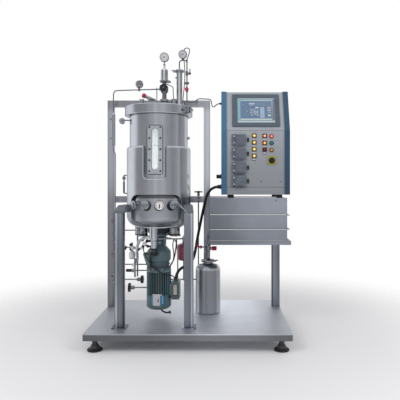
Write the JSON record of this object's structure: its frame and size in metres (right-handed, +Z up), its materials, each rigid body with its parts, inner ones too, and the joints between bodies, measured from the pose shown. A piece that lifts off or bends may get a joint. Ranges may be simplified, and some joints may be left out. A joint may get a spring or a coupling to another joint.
{
  "type": "pilot bioreactor skid",
  "caption": "Jacketed stainless fermenter vessel with a bottom drive, sight glass and lid fittings, on a tray with a rear pipe frame and a control cabinet.",
  "frame": {"origin": "on the floor under the middle of the base tray", "axes": "+Z up, +X to the right seen from the operator's side, +Y away from the operator to the rear pipe frame; metres"},
  "size_m": [1.112, 0.747, 1.6801],
  "materials": {
    "satin_stainless": "satin",
    "polished_stainless": "polished",
    "cabinet_paint": "satin",
    "cheek_paint": "satin",
    "drive_enamel": "gloss",
    "black_rubber": "matt",
    "gasket_rubber": "matt",
    "grey_conduit": "matt",
    "black_plastic": "satin",
    "bezel_grey": "satin",
    "yellow_cap": "gloss",
    "lamp_lens": "gloss",
    "crimson_plastic": "gloss",
    "dark_red_enamel": "gloss",
    "sight_glass": "clear"
  },
  "bodies": {
    "skid": {"base_tray": "satin_stainless", "levelling_feet": "black_rubber", "rear_frame": "satin_stainless", "support_posts": "satin_stainless", "vessel_lugs": "satin_stainless", "shelf_housing": "satin_stainless", "vessel_shell": "polished_stainless", "vessel_jacket": "satin_stainless", "sight_glass_frame": "polished_stainless", "sight_glass_pane": "sight_glass", "vessel_lid": "polished_stainless", "lid_gasket": "gasket_rubber", "lid_clamp": "satin_stainless", "harvest_valve": "polished_stainless", "drive_lantern": "drive_enamel", "motor_housing": "drive_enamel", "fan_cowl": "drive_enamel", "side_ports": "polished_stainless", "dial_gauges": "polished_stainless", "exhaust_condenser": "polished_stainless", "sanitary_clamps": "polished_stainless", "gas_filters": "polished_stainless", "process_pipes": "polished_stainless", "utility_pipes": "satin_stainless", "valve_bodies": "polished_stainless", "expansion_vessel": "dark_red_enamel", "canister": "polished_stainless", "cabinet_shell": "cabinet_paint", "cabinet_cheeks": "cheek_paint", "cabinet_feet": "black_rubber", "touch_screen": "bezel_grey", "pump_modules": "bezel_grey", "panel_bezels": "black_plastic", "indicator_lamps": "lamp_lens", "cable_glands": "black_plastic", "motor_conduit": "grey_conduit", "signal_cable": "black_rubber", "lid_cable": "black_rubber", "drive_cable": "black_rubber"},
    "agitator_body": {"agitator": "polished_stainless"},
    "main_switch_body": {"main_switch": "black_plastic"},
    "lid_handwheel_body": {"lid_handwheel": "black_plastic"},
    "red_knob_lid_body": {"red_knob_lid": "crimson_plastic"},
    "red_knob_riser_body": {"red_knob_riser": "crimson_plastic"},
    "riser_handle_body": {"riser_handle": "black_plastic"},
    "t_handle_body": {"t_handle": "black_plastic"},
    "star_knob_body": {"star_knob": "black_plastic"},
    "canister_knob_body": {"canister_knob": "crimson_plastic"},
    "canister_lever_body": {"canister_lever": "crimson_plastic"},
    "push_button_1_body": {"push_button_1": "yellow_cap"},
    "push_button_2_body": {"push_button_2": "yellow_cap"},
    "push_button_3_body": {"push_button_3": "yellow_cap"},
    "push_button_4_body": {"push_button_4": "yellow_cap"},
    "pump_switch_1_body": {"pump_switch_1": "black_plastic"},
    "pump_switch_2_body": {"pump_switch_2": "black_plastic"},
    "pump_switch_3_body": {"pump_switch_3": "black_plastic"},
    "pump_switch_4_body": {"pump_switch_4": "black_plastic"},
    "rear_knob_1_body": {"rear_knob_1": "black_plastic"},
    "rear_knob_2_body": {"rear_knob_2": "black_plastic"},
    "rear_knob_3_body": {"rear_knob_3": "black_plastic"}
  },
  "joints": [
    {"name": "agitator_spin", "type": "hinge", "parent": "skid", "child": "agitator_body", "pos_m": [-0.2, -0.0435, 0.7], "axis": [0, 0, 1], "continuous": true},
    {"name": "main_switch_turn", "type": "hinge", "parent": "skid", "child": "main_switch_body", "pos_m": [0.4505, -0.1425, 1.0125], "axis": [0, 1, 0], "range_deg": [0, 90]},
    {"name": "push_button_1_press", "type": "slide", "parent": "skid", "child": "push_button_1_body", "axis": [0, 1, 0], "range_m": [0, 0.004], "stiffness_N_per_m": 300, "springref_m": -0.002},
    {"name": "push_button_2_press", "type": "slide", "parent": "skid", "child": "push_button_2_body", "axis": [0, 1, 0], "range_m": [0, 0.004], "stiffness_N_per_m": 300, "springref_m": -0.002},
    {"name": "push_button_3_press", "type": "slide", "parent": "skid", "child": "push_button_3_body", "axis": [0, 1, 0], "range_m": [0, 0.004], "stiffness_N_per_m": 300, "springref_m": -0.002},
    {"name": "push_button_4_press", "type": "slide", "parent": "skid", "child": "push_button_4_body", "axis": [0, 1, 0], "range_m": [0, 0.004], "stiffness_N_per_m": 300, "springref_m": -0.002},
    {"name": "pump_switch_1_rock", "type": "hinge", "parent": "skid", "child": "pump_switch_1_body", "pos_m": [0.3156, -0.1425, 1.1275], "axis": [1, 0, 0], "range_deg": [0, 20]},
    {"name": "pump_switch_2_rock", "type": "hinge", "parent": "skid", "child": "pump_switch_2_body", "pos_m": [0.3156, -0.1425, 1.0496], "axis": [1, 0, 0], "range_deg": [0, 20]},
    {"name": "pump_switch_3_rock", "type": "hinge", "parent": "skid", "child": "pump_switch_3_body", "pos_m": [0.3156, -0.1425, 0.9708], "axis": [1, 0, 0], "range_deg": [0, 20]},
    {"name": "pump_switch_4_rock", "type": "hinge", "parent": "skid", "child": "pump_switch_4_body", "pos_m": [0.3156, -0.1425, 0.895], "axis": [1, 0, 0], "range_deg": [0, 20]},
    {"name": "lid_handwheel_turn", "type": "hinge", "parent": "skid", "child": "lid_handwheel_body", "pos_m": [-0.168, -0.086, 1.434], "axis": [0, -1, 0], "range_deg": [0, 1080]},
    {"name": "red_knob_lid_turn", "type": "hinge", "parent": "skid", "child": "red_knob_lid_body", "pos_m": [-0.276, -0.06, 1.389], "axis": [-0.9085, 0, 0.4179], "range_deg": [0, 1080]},
    {"name": "red_knob_riser_turn", "type": "hinge", "parent": "skid", "child": "red_knob_riser_body", "pos_m": [-0.036, -0.0628, 1.43], "axis": [0, -1, 0], "range_deg": [0, 1080]},
    {"name": "riser_handle_swing", "type": "hinge", "parent": "skid", "child": "riser_handle_body", "pos_m": [-0.023, -0.045, 1.526], "axis": [1, 0, 0], "range_deg": [0, 90]},
    {"name": "t_handle_turn", "type": "hinge", "parent": "skid", "child": "t_handle_body", "pos_m": [0.023, 0.135, 0.822], "axis": [0, 0, 1], "range_deg": [0, 90]},
    {"name": "star_knob_turn", "type": "hinge", "parent": "skid", "child": "star_knob_body", "pos_m": [-0.412, -0.0585, 1.246], "axis": [0, -1, 0], "range_deg": [0, 1080]},
    {"name": "canister_knob_turn", "type": "hinge", "parent": "skid", "child": "canister_knob_body", "pos_m": [0.107, 0.0795, 0.486], "axis": [1, 0, 0], "range_deg": [0, 1080]},
    {"name": "canister_lever_swing", "type": "hinge", "parent": "skid", "child": "canister_lever_body", "pos_m": [0.04, 0.0685, 0.494], "axis": [0, 1, 0], "range_deg": [0, 90]},
    {"name": "rear_knob_1_turn", "type": "hinge", "parent": "skid", "child": "rear_knob_1_body", "pos_m": [-0.397, 0.16, 0.337], "axis": [-1, 0, 0], "range_deg": [0, 1080]},
    {"name": "rear_knob_2_turn", "type": "hinge", "parent": "skid", "child": "rear_knob_2_body", "pos_m": [-0.339, 0.16, 0.281], "axis": [1, 0, 0], "range_deg": [0, 1080]},
    {"name": "rear_knob_3_turn", "type": "hinge", "parent": "skid", "child": "rear_knob_3_body", "pos_m": [-0.403, 0.16, 0.23], "axis": [-1, 0, 0], "range_deg": [0, 1080]}
  ]
}
